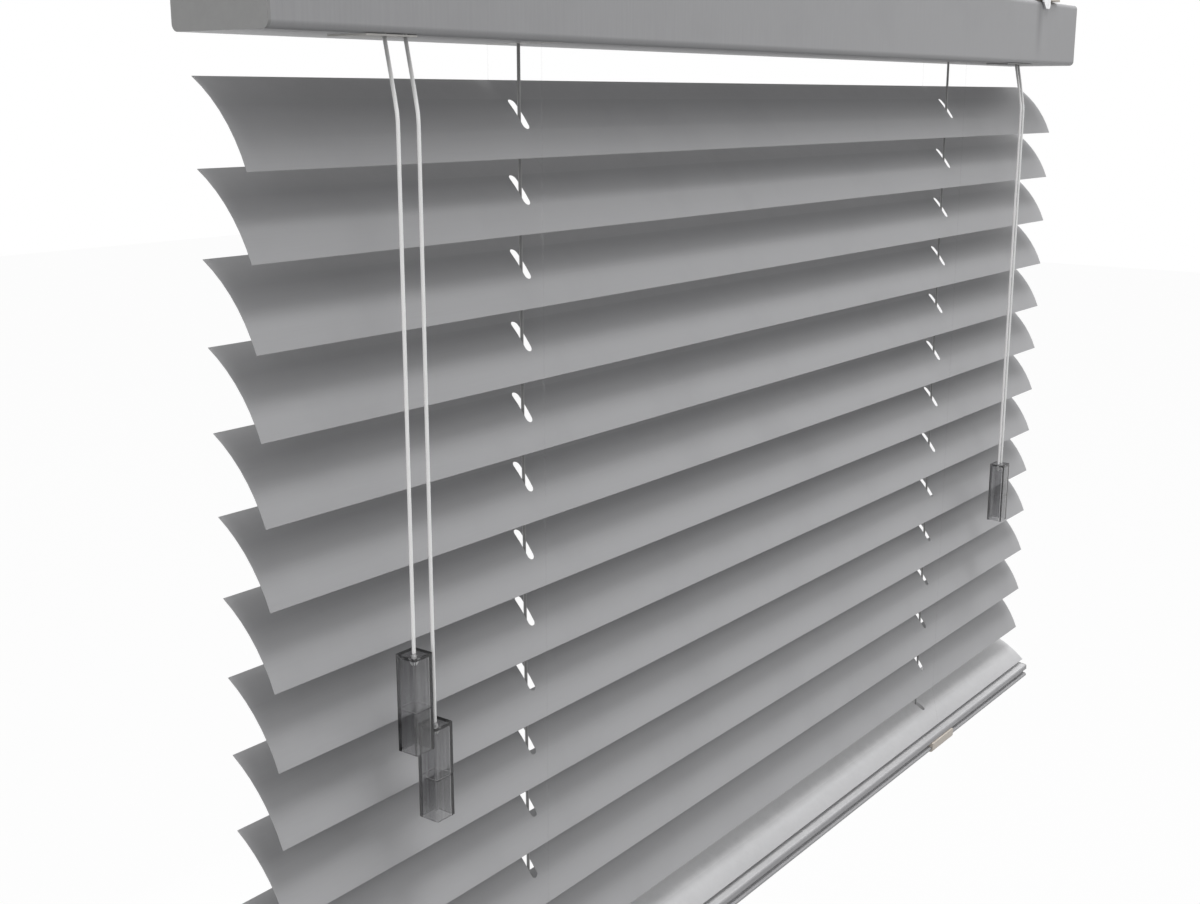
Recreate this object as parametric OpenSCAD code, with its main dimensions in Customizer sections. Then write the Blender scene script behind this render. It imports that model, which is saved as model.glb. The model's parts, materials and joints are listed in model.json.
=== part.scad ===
// Aluminium venetian blind: an open head rail with its tilt and lift gear, crowned slats hung on
// two string ladders, a bottom rail, two tilt cords on the left and a pair of lift cords on the right.
// Origin at the middle of the brackets' top face, X along the blind, -Y towards the room, Z up.

/* [Blind] */
// Width over the head rail, the slats and the bottom rail
blind_w = 900; // [820:10:1600]
// Distance from the end of the blind to each ladder
ladder_inset = 190; // [175:5:220]

/* [Slats] */
// Number of slats, the one that lies over the bottom rail included
slat_count = 14; // [8:1:14]
// Width of a slat across its chord
slat_w = 50; // [44:0.5:52]
// Height of a slat's crown above its chord
slat_crown = 4.1; // [2.5:0.1:5]
// Thickness of the slat sheet
slat_t = 0.3; // [0.2:0.05:0.5]
// Distance from one slat to the next
slat_pitch = 38.2; // [36:0.1:44]
// Tilt of the slats, front edge down
slat_tilt = 50.6; // [35:0.2:60]
// Tilt of the last slat, which lies over the bottom rail
last_tilt = 24.6; // [15:0.2:28]
// Steepest tilt that the ladders allow, either way
tilt_limit = 65; // [62:1:66]
// Length of the slot that the lift cord runs through
slot_len = 19; // [14:0.5:22]
// Width of that slot
slot_w = 5; // [4:0.25:7]

/* [Head rail] */
// Depth of the head rail, front to back
head_d = 60; // [58:1:70]
// Height of the head rail
head_h = 50; // [50:1:60]
// Thickness of the head rail sheet
head_t = 0.8; // [0.6:0.1:1.2]
// Radius of the head rail's corners
head_r = 3.5; // [2.5:0.25:5]
// Width of the lips that turn in at the top
head_lip = 8; // [6:0.5:10]
// Drop from the head rail to the first slat
head_drop = 34.6; // [30:0.2:50]
// Thickness of the end caps
cap_t = 1.6; // [1.2:0.1:3]

/* [Bottom rail] */
// Depth of the bottom rail, front to back
rail_d = 51; // [48:0.5:51.5]
// Height of the bottom rail
rail_h = 13.2; // [12:0.2:18]
// Wall of the bottom rail
rail_t = 1.2; // [1:0.1:1.6]
// Depth of the grooves along its front and back
groove_d = 2.8; // [2:0.1:3.5]
// Height of those grooves
groove_h = 3.4; // [3:0.1:4.5]
// Height of the bead above each groove
bead_h = 5; // [4.5:0.1:7]
// Length of the ladder clips
clip_len = 40; // [20:1:60]
// Thickness of the ladder clips
clip_t = 1.4; // [1:0.1:2]

/* [Brackets] */
// Distance from the end of the blind to the middle of a bracket
bracket_inset = 63; // [55:1:70]
// Height of a bracket above the head rail
bracket_h = 4; // [3.8:0.1:6]
// Thickness of a bracket's plate
bracket_t = 1.5; // [1.2:0.1:1.8]
// Width of a bracket's plate
bracket_w = 48; // [46:1:60]
// Diameter of a fixing hole
fixing_d = 4.5; // [3.5:0.1:5.5]
// Distance between a bracket's two fixing holes
fixing_gap = 32; // [24:1:36]

/* [Tilt gear] */
// Height of the tilt rod above the head rail's underside
rod_rise = 30; // [29:0.5:32]
// Side of the square tilt rod
rod_side = 6; // [5:0.25:7]
// Radius of the drums that the ladders hang on
drum_r = 10; // [9:0.25:10.5]
// Teeth on the tilter's gear
gear_teeth = 16; // [12:1:20]
// Distance from the end of the blind to the middle of the tilter
tilter_inset = 75; // [74:0.5:90]

/* [Cords] */
// Diameter of the lift and tilt cords
cord_d = 1.8; // [1.4:0.1:2.2]
// Diameter of the ladder strings
string_d = 0.8; // [0.6:0.1:1]
// Side of a square tassel
tassel_w = 12.5; // [12:0.25:12.5]
// Height of a tassel
tassel_h = 49; // [40:1:60]
// Wall of a tassel
tassel_t = 1.6; // [1.2:0.1:1.7]
// Distance from the end of the blind to the middle of the cord lock
lock_inset = 116; // [105:1:140]

/* [Hidden] */
// Running clearance of shafts, and the gap kept between pieces that move past each other
fit = 0.1;
gap = 0.3;
// Overlap of a cut past the face that it opens
cut = 1;
round_fn = 64;

// Levels and main places
ladder_x = blind_w / 2 - ladder_inset;
head_top = -bracket_h;
underside = head_top - head_h;
floor_z = underside + head_t;
rod_z = underside + rod_rise;
wall_y = head_d / 2 - head_t;
lip_y = head_d / 2 - head_lip;
base_y = head_d / 2 - head_r - fit;
function slat_z(i) = underside - head_drop - slat_pitch * (i - 1);

// Slats: radius of the crown, tilt of each, and a tip seen from the pivot at the top of the crown
crown_r = (pow(slat_w / 2, 2) + pow(slat_crown, 2)) / (2 * slat_crown);
function tilt_of(i) = i == slat_count ? last_tilt : slat_tilt;
function tip_y(side, a) = side * slat_w / 2 * cos(a) + slat_crown * sin(a);
function tip_z(side, a) = side * slat_w / 2 * sin(a) - slat_crown * cos(a);

// Ladder strings hang just clear of the slats' edges, at rest and at the steepest tilts
string_gap = gap + string_d / 2;
rung_v = -slat_crown - slat_t / 2 - string_gap;
// The lift cord passes the rungs on alternate sides
function rung_x(i) = (i % 2 == 0 ? 1 : -1) * (cord_d / 2 + gap + string_d / 2);
front_y = min(tip_y(-1, slat_tilt), tip_y(-1, -tilt_limit)) - string_gap;
back_y = slat_w / 2 * cos(slat_tilt) - (rung_v - string_d / 2) * sin(slat_tilt) + string_gap;
function string_y(side) = side < 0 ? front_y : back_y;

// Bottom rail
rail_drop = 16.8;
rail_crown = 1.6;
rail_round = 1.6;
rail_foot_r = 1.2;
rail_top = slat_z(slat_count) - rail_drop;
rail_edge = rail_d / 2;
rail_bottom = rail_top - rail_h;
groove_top = -rail_crown - bead_h;
clip_skin = rail_edge + clip_t;
plug_len = 9;

// Drums and their cradles
hub_r = rod_side / 2 * sqrt(2) + 2.6;
flange_r = drum_r + 2;
drum_half = 4;
flange_t = 1.5;
cheek_x = 8;
cheek_t = 2;
cradle_base = 2;
cradle_w = 2 * (cheek_x + cheek_t);
floor_slot_w = 14;
floor_slot_d = 2 * base_y - 2.8;
slot_half = floor_slot_d / 2 - 2;

// Lift cords: height of each run in the head rail, and the bends at either end of it
bend_r = 5;
saddle_r = bend_r - cord_d / 2 - gap;
function run_z(side) = floor_z + (side < 0 ? 13.2 : 9.2);
knot_r = 3;
rail_knot_z = rail_top - rail_t - gap - knot_r - 0.4;

// Cord lock
lock_x = blind_w / 2 - lock_inset;
lock_base = 2;
roller_r = 4.6;
roller_len = 26;
roller_ridges = 24;
roller_knurl = 0.4;
roller_pin_r = 1.5;
turn_r = roller_r + gap + cord_d / 2;
exit_y = -head_d / 2 + 4;
roller_y = exit_y + turn_r;
roller_z = floor_z + 7.2;
lock_w = 38;
lock_back = 5;
cord_part = 5;
exit_part = 2.5;
function cord_lock_x(side) = lock_x + side * cord_part;
function cord_exit_x(side) = lock_x + side * exit_part;

// Tilter: gear on the rod, worm and cord spool below it on an axis from front to back
tilter_x = -blind_w / 2 + tilter_inset;
gear_r = 10.6;
gear_root_r = 8.2;
gear_pitch_r = (gear_r + gear_root_r) / 2;
gear_half = 4;
worm_drop = 14.5;
worm_z = rod_z - worm_drop;
worm_r = worm_drop - gear_root_r - gap;
worm_root_r = worm_drop - gear_r - gap;
worm_half = 9;
worm_starts = 2;
worm_lead = worm_starts * 2 * PI * gear_pitch_r / gear_teeth;
tooth_lean = atan(worm_lead / (2 * PI * (worm_drop - gear_pitch_r)));
worm_shaft_r = 2;
spool_cord_r = 6.5;
spool_r = spool_cord_r - cord_d / 2 - gap;
spool_flange_r = 8.6;
spool_half = 2.5;
spool_y = exit_y + 2.8;
tilter_half = 15;
tilter_wall = 2;
tilter_front = -wall_y + 0.4;
tilter_mid = spool_y + spool_half + flange_t + gap;
tilter_back = 14;

// Plates under the head rail that the cords come out of
plate_t = 0.8;
plate_front = -head_d / 2 + 1.6;
tilt_plate = [31, 24];
tilt_plate_shift = -4;
lock_plate = [50, 18];
exit_hole_d = 4.4;

// Brackets
bracket_x = blind_w / 2 - bracket_inset;
fixing_x = -12.5;
latch_x = 6.5;
latch_pin_r = 3;
latch_t = bracket_h - bracket_t - 2 * gap;
lever_w = 19;
lever_reach = head_d / 2 + 2;
foot_half = lip_y + 3;
foot_w = 14;
tongue_w = 14;
tongue_x = -11;
tongue_drop = 6;
claw_drop = 9;

// Free cords, each a route of x, y and z from the point where it leaves the head rail
cord_sides = 8;
tassel_y = -rail_edge - tassel_w / 2 - 0.75;
lean = tassel_y - exit_y;
spool_rise = worm_z - underside;
tilt_route_top = [[0, spool_y - exit_y, spool_rise], [0, 0, 0], [0, 0.49 * lean, -18], [0, 0.92 * lean, -33],
    [0, 0.985 * lean, -37], [0, lean, -42]];
tilt_route_left = concat(tilt_route_top, [for (z = [-80, -140, -200, -250, -282.5]) [0, lean, z]]);
tilt_route_right = concat(tilt_route_top, [for (z = [-90, -160, -230, -290, -322]) [0, lean, z]]);
tassel_top_t = 2;
cord_knot_r = 1.6;
cord_knot_h = 4;
cord_hole_d = cord_d + 0.8;
lift_end = tassel_w / 2 - tassel_t - cord_knot_r - 0.25;
lift_in = exit_part - lift_end;
lift_route = [[0, 0, -gap], [0, 0, -1.5], [0.2 * lift_in, 0.49 * lean, -16], [0.4 * lift_in, 0.92 * lean, -31],
    [0.45 * lift_in, 0.985 * lean, -35], [0.5 * lift_in, lean, -40], [0.65 * lift_in, lean, -90],
    [0.8 * lift_in, lean, -160], [0.95 * lift_in, lean, -230], [lift_in, lean, -290], [lift_in, lean, -330]];
tassel_seam = 0.56;

slat_grey = "#8f8f92";
rail_grey = "#9a9a9d";
steel = "#b5b7ba";
cord_white = "#e9e9e7";
cream = "#d2c8ba";
smoke = "#5a5c60";
plastic_grey = "#c3c3c0";

// An outline in Y and Z drawn out along X
module along_x(length) {
    rotate([90, 0, 90]) linear_extrude(height = length, center = true) children();
}

// A ring of points round a point of a route, across the line from the point before to the point after
function ring(points, k, r) = let (
    d = points[min(k + 1, len(points) - 1)] - points[max(k - 1, 0)],
    u = d / norm(d),
    a = cross([1, 1, 1], u),
    side = a / norm(a),
    up = cross(u, side))
    [for (s = [0 : cord_sides - 1])
        points[k] + r * (cos(s * 360 / cord_sides) * side + sin(s * 360 / cord_sides) * up)];

// A cord swept along a route, with a radius at each of its points
module cord_tube(points, radii) {
    n = len(points);
    rings = [for (k = [0 : n - 1]) each ring(points, k, radii[k])];
    walls = [for (k = [0 : n - 2]) for (s = [0 : cord_sides - 1]) let (t = (s + 1) % cord_sides)
        [k * cord_sides + t, k * cord_sides + s, (k + 1) * cord_sides + s, (k + 1) * cord_sides + t]];
    first_end = [for (s = [0 : cord_sides - 1]) s];
    last_end = [for (s = [0 : cord_sides - 1]) n * cord_sides - 1 - s];
    polyhedron(points = rings, faces = concat(walls, [first_end, last_end]), convexity = 6);
}

// Points of a quarter bend about a centre, from one direction round to another
function bend(c, from, to, n) = [for (k = [0 : n]) c + cos(k * 90 / n) * from + sin(k * 90 / n) * to];

// A bar along X
module bar_x(r, length) {
    rotate([0, 90, 0]) cylinder(h = length, r = r, center = true, $fn = round_fn);
}

// A bar along Y, from one y to another
module bar_y(r, from, to) {
    translate([0, from, 0]) rotate([-90, 0, 0]) cylinder(h = to - from, r = r, $fn = round_fn);
}

// A block between two corners
module block(low, high) {
    translate(low) cube(high - low);
}

// Slats

module slat_profile() {
    intersection() {
        translate([0, -crown_r]) difference() {
            circle(r = crown_r + slat_t / 2, $fn = 180);
            circle(r = crown_r - slat_t / 2, $fn = 180);
        }
        translate([-slat_w / 2, -2 * slat_crown]) square([slat_w, 4 * slat_crown]);
    }
}

module slat_slot() {
    linear_extrude(height = 6 * slat_crown, center = true) {
        square([slot_w, slot_len - slot_w], center = true);
        for (side = [-1, 1]) translate([0, side * (slot_len - slot_w) / 2]) circle(d = slot_w, $fn = 48);
    }
}

module slat(i) {
    color(slat_grey) translate([0, 0, slat_z(i)]) rotate([tilt_of(i), 0, 0]) difference() {
        along_x(blind_w) slat_profile();
        for (side = [-1, 1]) translate([side * ladder_x, 0, 0]) slat_slot();
    }
}

// Ladders

// A rung's end just short of a string, measured along the slat from its pivot
function rung_end(side, a, y) = (y - side * (string_gap + string_d / 2 * sin(a)) + rung_v * sin(a)) / cos(a);

module rung(i, front, back) {
    a = tilt_of(i);
    from = rung_end(-1, a, front);
    to = rung_end(1, a, back);
    translate([rung_x(i), 0, slat_z(i)]) rotate([a, 0, 0]) translate([0, 0, rung_v]) bar_y(string_d / 2, from, to);
}

module rungs(i) {
    color(slat_grey) for (side = [-1, 1]) translate([side * ladder_x, 0, 0]) rung(i, front_y, back_y);
}

// A ladder string, from its drum down past the slats and over the edge of the bottom rail to its clip
last_reach = slat_w / 2 * cos(last_tilt) - (rung_v - string_d / 2) * sin(last_tilt) + string_gap;
function last_y(side) = side < 0 ? tip_y(-1, last_tilt) - string_gap : last_reach;
function last_z(side) = slat_z(slat_count) + tip_z(side, last_tilt);
// Where a string passes the head rail's floor, inside the cradle's slot
function floor_y(side) = side * min(abs(string_y(side)), slot_half - string_gap);
function string_route(side) = [
    [0, side * (drum_r + string_gap), rod_z],
    [0, floor_y(side), underside],
    [0, string_y(side), slat_z(slat_count - 1) + tip_z(side, slat_tilt)],
    [0, last_y(side), last_z(side)],
    [0, side * (rail_edge + string_gap), rail_top - rail_crown],
    [0, side * (rail_edge + string_gap), rail_top + groove_top + gap]
];

module ladder(side) {
    color(slat_grey) translate([side * ladder_x, 0, 0]) {
        for (face = [-1, 1]) cord_tube(string_route(face), [for (p = string_route(face)) string_d / 2]);
        rung(1, front_y, back_y);
        rung(slat_count, last_y(-1), last_y(1));
    }
}

// Head rail

module head_outline(inset) {
    w = head_d / 2 - inset;
    r = max(head_r - inset, 0.3);
    low = underside + inset;
    high = head_top - inset;
    translate([-w, low + r]) square([2 * w, high - low - 2 * r]);
    translate([-w + r, low]) square([2 * (w - r), high - low]);
    for (side = [-1, 1]) for (z = [low + r, high - r]) translate([side * (w - r), z]) circle(r = r, $fn = round_fn);
}

module head_profile() {
    difference() {
        head_outline(0);
        head_outline(head_t);
        translate([-lip_y, head_top - head_lip]) square([2 * lip_y, head_lip + cut]);
    }
}

module head_rail() {
    color(rail_grey) difference() {
        along_x(blind_w - 2 * cap_t) head_profile();
        for (side = [-1, 1]) translate([side * ladder_x, 0, underside])
            cube([floor_slot_w, floor_slot_d, 4 * head_t], center = true);
        translate([tilter_x, exit_y, underside])
            cube([2 * spool_cord_r + exit_hole_d, exit_hole_d, 4 * head_t], center = true);
        translate([lock_x, exit_y, underside])
            cube([2 * cord_part + exit_hole_d, exit_hole_d, 4 * head_t], center = true);
    }
}

// An end cap: a face of the rail's own outline, and a plug inside the channel
module head_cap(side) {
    color(rail_grey) {
        translate([side * (blind_w - cap_t) / 2, 0, 0]) along_x(cap_t) head_outline(0);
        translate([side * (blind_w - cap_t - plug_len) / 2, 0, 0]) along_x(plug_len) difference() {
            head_outline(head_t + fit);
            head_outline(head_t + fit + cap_t);
        }
    }
}

// Brackets

// The bracket at the right, about its own middle: plate, front tongue, back claw
module bracket_body() {
    tongue_y = -head_d / 2 - gap;
    difference() {
        union() {
            bracket_plate(tongue_y);
            block([-bracket_w / 2, -tongue_y, head_top - claw_drop], [bracket_w / 2, -tongue_y + bracket_t, 0]);
            translate([tongue_x, 0, 0])
                block([-tongue_w / 2, tongue_y - bracket_t, -bracket_t], [tongue_w / 2, tongue_y, 0]);
            translate([tongue_x, tongue_y, head_top - tongue_drop]) rotate([90, 0, 0])
                linear_extrude(height = bracket_t) polygon([[-tongue_w / 2 + 5, 0], [tongue_w / 2 - 2, 0],
                    [tongue_w / 2, 2], [tongue_w / 2, tongue_drop + bracket_h],
                    [-tongue_w / 2, tongue_drop + bracket_h], [-tongue_w / 2, 5]]);
            for (side = [-1, 1]) translate([fixing_x, side * fixing_gap / 2, 0]) bracket_spacer();
        }
        for (side = [-1, 1]) translate([fixing_x, side * fixing_gap / 2, -bracket_h - cut])
            cylinder(h = bracket_h + 2 * cut, d = fixing_d, $fn = round_fn);
        translate([latch_x, 0, -bracket_t - cut])
            cylinder(h = bracket_t + 2 * cut, r = latch_pin_r + fit, $fn = round_fn);
    }
}

// The plate, its front right corner rounded about the latch's pin so that the lever can swing past it
module bracket_plate(front) {
    block([-bracket_w / 2, front, -bracket_t], [latch_x, -front + bracket_t, 0]);
    block([-bracket_w / 2, 0, -bracket_t], [bracket_w / 2, -front + bracket_t, 0]);
    intersection() {
        translate([latch_x, 0, -bracket_t]) cylinder(h = bracket_t, r = -front, $fn = 2 * round_fn);
        block([latch_x - cut, front, -bracket_t], [bracket_w / 2, cut, 0]);
    }
}

// A pressed boss round a fixing hole
module bracket_spacer() {
    translate([0, 0, -bracket_t - 0.8]) cylinder(h = bracket_t, d = fixing_d + 6, $fn = round_fn);
}

module bracket(side) {
    color(steel) mirror([side < 0 ? 1 : 0, 0, 0]) translate([bracket_x, 0, 0]) bracket_body();
}

// The cam latch: lever to the front, pin through the plate, foot under the head rail's lips
module latch_body() {
    lever_z = head_top + gap;
    union() {
        translate([0, 0, lever_z]) {
            cylinder(h = latch_t, d = lever_w, $fn = round_fn);
            block([-lever_w / 2, -lever_reach, 0], [lever_w / 2, 0, latch_t]);
            block([-lever_w / 2, -lever_reach, 0], [lever_w / 2, -head_d / 2 - 2 * gap, latch_t + bracket_t]);
        }
        translate([0, 0, head_top - head_t - gap - 2]) {
            cylinder(h = bracket_h + head_t + gap + 2 - gap, r = latch_pin_r, $fn = round_fn);
            intersection() {
                cylinder(h = 2, r = foot_half, $fn = round_fn);
                translate([0, 0, 1]) cube([foot_w, 2 * foot_half, 2], center = true);
            }
        }
    }
}

module latch(side) {
    color(cream) mirror([side < 0 ? 1 : 0, 0, 0]) translate([bracket_x + latch_x, 0, 0]) latch_body();
}

// Tilt gear

rod_left = tilter_x - tilter_half - 3;
rod_right = ladder_x + cradle_w / 2 + 6;

module tilt_rod() {
    color(steel) block([rod_left, -rod_side / 2, rod_z - rod_side / 2], [rod_right, rod_side / 2, rod_z + rod_side / 2]);
}

// The square hole that a wheel is driven by
module rod_hole() {
    cube([blind_w, rod_side + 2 * fit, rod_side + 2 * fit], center = true);
}

module ladder_drum(side) {
    color(plastic_grey) translate([side * ladder_x, 0, rod_z]) difference() {
        union() {
            bar_x(drum_r, 2 * drum_half);
            for (end = [-1, 1]) translate([end * (drum_half + flange_t / 2), 0, 0]) bar_x(flange_r, flange_t);
            bar_x(hub_r, cradle_w + 2);
        }
        rod_hole();
    }
}

// A cheek of a cradle, rounded over the drum's hub
module cradle_cheek() {
    along_x(cheek_t) difference() {
        union() {
            translate([-flange_r, floor_z]) square([2 * flange_r, rod_z - floor_z]);
            translate([0, rod_z]) circle(r = flange_r, $fn = round_fn);
        }
        translate([0, rod_z]) circle(r = hub_r + fit, $fn = round_fn);
        translate([-3, floor_z + cradle_base]) square([6, run_z(-1) + cord_d - floor_z - cradle_base]);
    }
}

module drum_cradle(side) {
    saddle_z = run_z(side) - bend_r;
    color(plastic_grey) translate([side * ladder_x, 0, 0]) difference() {
        union() {
            block([-cradle_w / 2, -base_y, floor_z], [cradle_w / 2, base_y, floor_z + cradle_base]);
            block([-floor_slot_w / 2 + fit, -floor_slot_d / 2 + fit, underside],
                [floor_slot_w / 2 - fit, floor_slot_d / 2 - fit, floor_z]);
            for (end = [-1, 1]) translate([end * (cheek_x + cheek_t / 2), 0, 0]) cradle_cheek();
            translate([bend_r, 0, saddle_z]) bar_y(saddle_r, -5, 5);
            block([bend_r - saddle_r, -5, floor_z], [bend_r + saddle_r, 5, saddle_z]);
        }
        translate([0, 0, underside - cut]) cylinder(h = cradle_base + 4 * cut, r = cord_d / 2 + gap, $fn = 32);
        for (face = [-1, 1]) translate([0, face * (slot_half + 6) / 2, underside])
            cube([4, slot_half - 6, 4 * cradle_base], center = true);
    }
}

function gear_point(k, r, share) = r * [cos((k + share) * 360 / gear_teeth), sin((k + share) * 360 / gear_teeth)];

// The gear's outline, with a tooth at the bottom where it meets the worm
module gear_profile() {
    rotate(-90) polygon([for (k = [0 : gear_teeth - 1]) each [
        gear_point(k, gear_root_r, -0.3), gear_point(k, gear_r, -0.14),
        gear_point(k, gear_r, 0.14), gear_point(k, gear_root_r, 0.3)]]);
}

module tilter_gear() {
    turn = 2 * gear_half * tan(tooth_lean) / gear_pitch_r * 180 / PI;
    color(cream) translate([tilter_x, 0, rod_z]) difference() {
        union() {
            rotate([90, 0, 90]) rotate(turn / 2)
                linear_extrude(height = 2 * gear_half, center = true, twist = turn, slices = 6) gear_profile();
            bar_x(hub_r, 2 * tilter_half + 2);
        }
        rod_hole();
    }
}

// The worm's thread cut across: a lobe for each start, with sloping flanks
function thread_r(share) = abs(share) < 0.12 ? worm_r : worm_r - (worm_r - worm_root_r) * (abs(share) - 0.12) / 0.18;

module thread_profile() {
    step = 360 / worm_starts;
    polygon([for (k = [0 : worm_starts - 1]) for (share = [-0.3 : 0.06 : 0.301])
        let (a = step * (k + share)) thread_r(share) * [cos(a), sin(a)]]);
}

module worm_thread() {
    turn = 360 * 2 * worm_half / worm_lead;
    translate([0, -worm_half, 0]) rotate([-90, 0, 0]) rotate(turn / 2)
        linear_extrude(height = 2 * worm_half, twist = turn, slices = 90) thread_profile();
}

module tilter_worm() {
    front = tilter_front + 0.5;
    color(cream) translate([tilter_x, 0, worm_z]) {
        bar_y(worm_shaft_r, front, tilter_back + 1);
        bar_y(worm_root_r, -worm_half, worm_half);
        worm_thread();
        translate([0, spool_y, 0]) {
            bar_y(spool_r, -spool_half, spool_half);
            bar_y(spool_flange_r, spool_half, spool_half + flange_t);
            bar_y(spool_flange_r, -spool_half - 1, -spool_half);
        }
    }
}

module tilter_housing() {
    top = rod_z + hub_r + 3;
    half = tilter_half;
    inner = half - tilter_wall;
    color(plastic_grey) translate([tilter_x, 0, 0]) difference() {
        intersection() {
            block([-half, tilter_front, floor_z], [half, tilter_back, top]);
            along_x(blind_w) head_outline(head_t + fit);
        }
        block([-inner, tilter_mid + tilter_wall, floor_z + tilter_wall], [inner, tilter_back - tilter_wall, top + cut]);
        block([-inner, tilter_front + 1.2, floor_z + tilter_wall], [inner, tilter_mid, top + cut]);
        translate([0, 0, worm_z]) bar_y(worm_shaft_r + fit, tilter_front - cut, tilter_back + cut);
        translate([0, 0, rod_z]) bar_x(hub_r + fit, 2 * half + cut);
        block([-half - cut, tilter_front - cut, rod_z - hub_r], [half + cut, tilter_mid + tilter_wall, top + cut]);
        for (side = [-1, 1]) translate([side * spool_cord_r, exit_y, floor_z])
            cylinder(h = 3 * tilter_wall, d = exit_hole_d, center = true, $fn = 32);
    }
}

// A plate under the head rail, with a hole for each of two cords
module exit_plate(size, part, shift = 0) {
    half = size[0] / 2;
    difference() {
        block([shift - half, plate_front, underside - plate_t], [shift + half, plate_front + size[1], underside]);
        for (side = [-1, 1]) translate([side * part, exit_y, underside])
            cylinder(h = 4 * plate_t, d = exit_hole_d, center = true, $fn = 32);
    }
}

module tilter_plate() {
    color(plastic_grey) translate([tilter_x, 0, 0]) exit_plate(tilt_plate, spool_cord_r, tilt_plate_shift);
}

// Cord lock

module cord_lock() {
    half = lock_w / 2;
    roller_half = roller_len / 2 + gap;
    post_h = run_z(-1) + 2 - floor_z;
    color(steel) translate([lock_x, 0, 0]) difference() {
        union() {
            block([-half, -base_y, floor_z], [half, lock_back, floor_z + lock_base]);
            for (side = [-1, 1]) translate([side * (roller_half + 1), 0, 0])
                block([-1, -base_y, floor_z], [1, roller_y + 8, roller_z + roller_r + 2]);
            for (side = [-1, 1]) translate([side * cord_part - bend_r, -bend_r, floor_z])
                cylinder(h = post_h, r = saddle_r, $fn = round_fn);
        }
        translate([0, roller_y, roller_z]) bar_x(roller_pin_r + fit, lock_w);
        translate([0, exit_y, floor_z])
            cube([2 * cord_part + exit_hole_d, exit_hole_d, 4 * lock_base], center = true);
    }
}

// The roller's outline, knurled so that it grips the cords
module roller_profile() {
    polygon([for (k = [0 : 2 * roller_ridges - 1])
        (roller_r - (k % 2 == 0 ? 0 : roller_knurl)) * [cos(k * 180 / roller_ridges), sin(k * 180 / roller_ridges)]]);
}

module cord_lock_roller() {
    color(steel) translate([lock_x, roller_y, roller_z]) {
        along_x(roller_len) roller_profile();
        bar_x(roller_pin_r, roller_len + 4);
    }
}

module cord_lock_plate() {
    color(plastic_grey) translate([lock_x, 0, 0]) exit_plate(lock_plate, exit_part);
}

// A lift cord inside the blind: knot in the bottom rail, up through the slats, along the head rail, over the roller
function knot_route(x) = [for (dz = [-knot_r, -1, 1, knot_r]) [x, 0, rail_knot_z + dz]];
knot_radii = [cord_d / 2, knot_r, knot_r, cord_d / 2];
function lift_route_in(x, z, end_x, out_x) = concat(
    knot_route(x),
    bend([x + bend_r, 0, z - bend_r], [-bend_r, 0, 0], [0, 0, bend_r], 4),
    bend([end_x - bend_r, -bend_r, z], [0, bend_r, 0], [bend_r, 0, 0], 4),
    bend([end_x, roller_y, roller_z], [0, 0, turn_r], [0, -turn_r, 0], 4),
    [[out_x, exit_y, underside]]);

module lift_cord(side) {
    route = lift_route_in(side * ladder_x, run_z(side), cord_lock_x(side), cord_exit_x(side));
    plain = [for (k = [len(knot_radii) : len(route) - 1]) cord_d / 2];
    color(cord_white) cord_tube(route, concat(knot_radii, plain));
}

// Bottom rail

// Points along an arc
function arc(c, r, from, to, n) = [for (k = [0 : n]) c + r * [cos(from + (to - from) * k / n), sin(from + (to - from) * k / n)]];

// The right half of the rail's outline, from the middle of its crowned top down to the middle of its bottom
function rail_half() = let (
    shoulder = rail_edge - rail_round,
    crown_rad = (pow(shoulder, 2) + pow(rail_crown, 2)) / (2 * rail_crown),
    sweep = asin(shoulder / crown_rad))
    concat(
        arc([0, -crown_rad], crown_rad, 90, 90 - sweep, 10),
        arc([shoulder, -rail_crown - rail_round], rail_round, 75, 0, 5),
        [[rail_edge, groove_top + 0.6], [rail_edge - 0.6, groove_top], [rail_edge - groove_d, groove_top],
            [rail_edge - groove_d, groove_top - groove_h]],
        [[rail_edge - 0.8, groove_top - groove_h], [rail_edge, groove_top - groove_h - 0.8]],
        arc([rail_edge - rail_foot_r, -rail_h + rail_foot_r], rail_foot_r, 0, -90, 4));
function mirrored(points) = [for (k = [len(points) - 1 : -1 : 0]) [-points[k][0], points[k][1]]];

module rail_outline() {
    half = rail_half();
    translate([0, rail_top]) polygon(concat(half, mirrored(half)));
}

module rail_hollow(inset) {
    w = rail_edge - groove_d - inset;
    translate([-w, rail_bottom + inset]) square([2 * w, rail_h - rail_crown - 2 * inset]);
}

module bottom_rail() {
    color(rail_grey) difference() {
        along_x(blind_w - 2 * cap_t) difference() {
            rail_outline();
            rail_hollow(rail_t);
        }
        for (side = [-1, 1]) translate([side * ladder_x, 0, rail_top - rail_h / 2])
            cylinder(h = rail_h, d = slot_w, $fn = 48);
    }
}

module rail_cap(side) {
    color(rail_grey) {
        translate([side * (blind_w - cap_t) / 2, 0, 0]) along_x(cap_t) rail_outline();
        translate([side * (blind_w - cap_t - plug_len) / 2, 0, 0]) along_x(plug_len) rail_hollow(rail_t + fit);
    }
}

// A clip under the rail, with a tongue in each groove
module ladder_clips() {
    tongue = groove_h - 2 * fit;
    color(cream) for (side = [-1, 1]) translate([side * ladder_x, 0, 0]) along_x(clip_len) {
        difference() {
            clip_outline(clip_t);
            clip_outline(fit);
        }
        for (face = [-1, 1])
            translate([face * (rail_edge + (clip_t - groove_d) / 2 + fit), rail_top + groove_top - groove_h / 2])
                square([groove_d + clip_t - 2 * fit, tongue], center = true);
    }
}

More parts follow.
